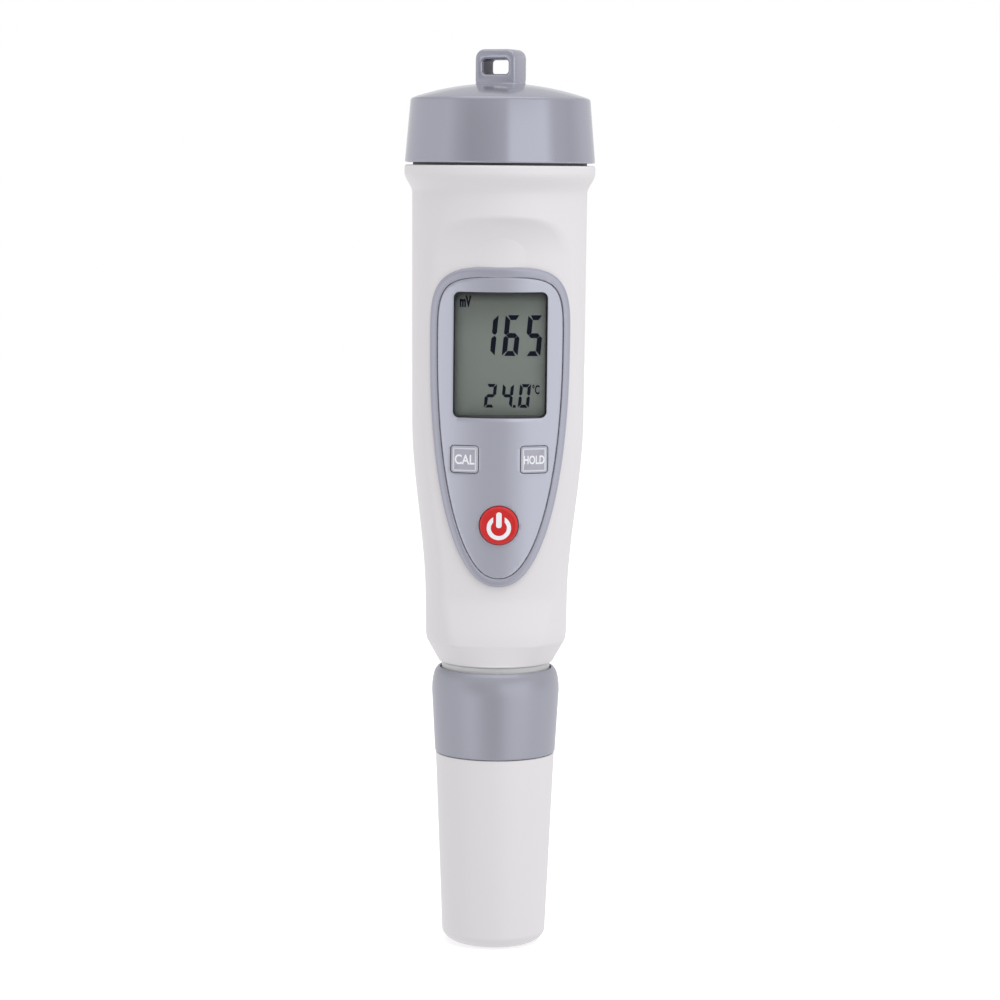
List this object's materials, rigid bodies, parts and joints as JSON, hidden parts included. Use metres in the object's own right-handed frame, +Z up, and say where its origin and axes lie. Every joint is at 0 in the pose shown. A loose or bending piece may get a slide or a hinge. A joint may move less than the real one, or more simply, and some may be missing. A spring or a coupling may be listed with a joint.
{
  "type": "digital water tester",
  "caption": "Pen-type water tester: round housing with display and keys, screwed battery cap with lanyard loop, screwed-on probe under a storage cap.",
  "frame": {"origin": "middle of the storage cap's foot, on the surface that the tester stands on", "axes": "+Z up along the housing's axis towards the lanyard loop, -Y towards the panel, +X to the right of someone reading the display"},
  "size_m": [0.0401, 0.04, 0.19],
  "materials": {
    "white_shell": "satin moulded ABS, white",
    "grey_cap": "satin moulded ABS, cool grey",
    "grey_bezel": "satin, cool grey",
    "grey_plate": "satin silver-grey lacquer",
    "grey_key": "satin, cool grey",
    "red_key": "glossy red",
    "clear_lens": "clear polished",
    "lcd": "grey-green display behind a polariser",
    "white_frame": "matte white",
    "black_rubber": "matte black rubber",
    "pale_silicone": "translucent pale silicone",
    "pink_silicone": "layered silicone strip",
    "black_plastic": "matte black",
    "gold_contact": "gold-plated brass",
    "nickel": "bright nickel plate",
    "steel": "plain steel",
    "board_green": "green solder mask on glass fibre",
    "red_wire": "red insulation",
    "black_wire": "black insulation",
    "blue_wire": "blue insulation",
    "probe_plastic": "satin black",
    "probe_glass": "clear glass tube",
    "platinum": "bright platinum",
    "ceramic": "porous white ceramic",
    "sponge": "open-cell foam",
    "capacitor": "tan ceramic"
  },
  "bodies": {
    "housing": {"housing": "white_shell", "cap_gasket": "black_rubber", "battery_holder": "black_plastic", "top_contact": "gold_contact", "bottom_contact": "gold_contact", "cell_1": "nickel", "cell_2": "nickel", "cell_3": "nickel", "cell_4": "nickel", "battery_lead_red": "red_wire", "battery_lead_black": "black_wire", "bezel": "grey_bezel", "faceplate": "grey_plate", "display_window": "clear_lens", "lcd_glass": "lcd", "lcd_frame": "white_frame", "zebra_strips": "pink_silicone", "frame_screws": "steel", "main_board": "board_green", "mcu_chip": "black_plastic", "amplifier_chip": "black_plastic", "crystal": "steel", "capacitors": "capacitor", "cal_switch": "black_plastic", "hold_switch": "black_plastic", "power_switch": "black_plastic", "keypad_membrane": "pale_silicone", "probe_socket": "black_plastic", "socket_contacts": "gold_contact", "probe_leads": "blue_wire", "collar_seal": "pale_silicone"},
    "cap_contact": {"contact_disc": "nickel", "contact_spring": "steel"},
    "battery_cap": {"battery_cap": "grey_cap"},
    "cal_key": {"cal_key": "grey_key"},
    "hold_key": {"hold_key": "grey_key"},
    "power_key": {"power_key": "red_key"},
    "probe": {"probe_body": "probe_plastic", "probe_pins": "gold_contact", "probe_gasket": "black_rubber", "probe_o_ring": "black_rubber", "sensor_stem": "probe_glass", "platinum_band": "platinum", "reference_junction": "ceramic", "temperature_pin": "steel"},
    "ring_nut": {"ring_nut": "grey_cap"},
    "storage_cap": {"protective_cap": "white_shell", "storage_sponge": "sponge"}
  },
  "joints": [
    {"name": "battery_cap_lift", "type": "slide", "parent": "housing", "child": "cap_contact", "axis": [0, 0, 1], "range_m": [0, 0.0091]},
    {"name": "battery_cap_turn", "type": "hinge", "parent": "cap_contact", "child": "battery_cap", "pos_m": [0, 0, 0.17], "axis": [0, 0, 1], "range_deg": [0, 1080]},
    {"name": "cal_press", "type": "slide", "parent": "housing", "child": "cal_key", "axis": [0, 0.9988, 0.0489], "range_m": [0, 0.0006], "stiffness_N_per_m": 1500, "springref_m": -0.0006},
    {"name": "hold_press", "type": "slide", "parent": "housing", "child": "hold_key", "axis": [0, 0.9988, 0.0489], "range_m": [0, 0.0006], "stiffness_N_per_m": 1500, "springref_m": -0.0006},
    {"name": "power_press", "type": "slide", "parent": "housing", "child": "power_key", "axis": [0, 0.9988, 0.0489], "range_m": [0, 0.0006], "stiffness_N_per_m": 1500, "springref_m": -0.0006},
    {"name": "probe_draw", "type": "slide", "parent": "housing", "child": "probe", "axis": [0, 0, -1], "range_m": [0, 0.0076]},
    {"name": "ring_nut_turn", "type": "hinge", "parent": "probe", "child": "ring_nut", "pos_m": [0, 0, 0.05], "axis": [0, 0, -1], "range_deg": [0, 1080]},
    {"name": "storage_cap_pull", "type": "slide", "parent": "probe", "child": "storage_cap", "axis": [0, 0, -1], "range_m": [0, 0.036]}
  ],
  "couplings": [
    {"joint": "battery_cap_lift", "follows": "battery_cap_turn", "m_per_rad": 0.00047746},
    {"joint": "probe_draw", "follows": "ring_nut_turn", "m_per_rad": 0.00039789}
  ]
}
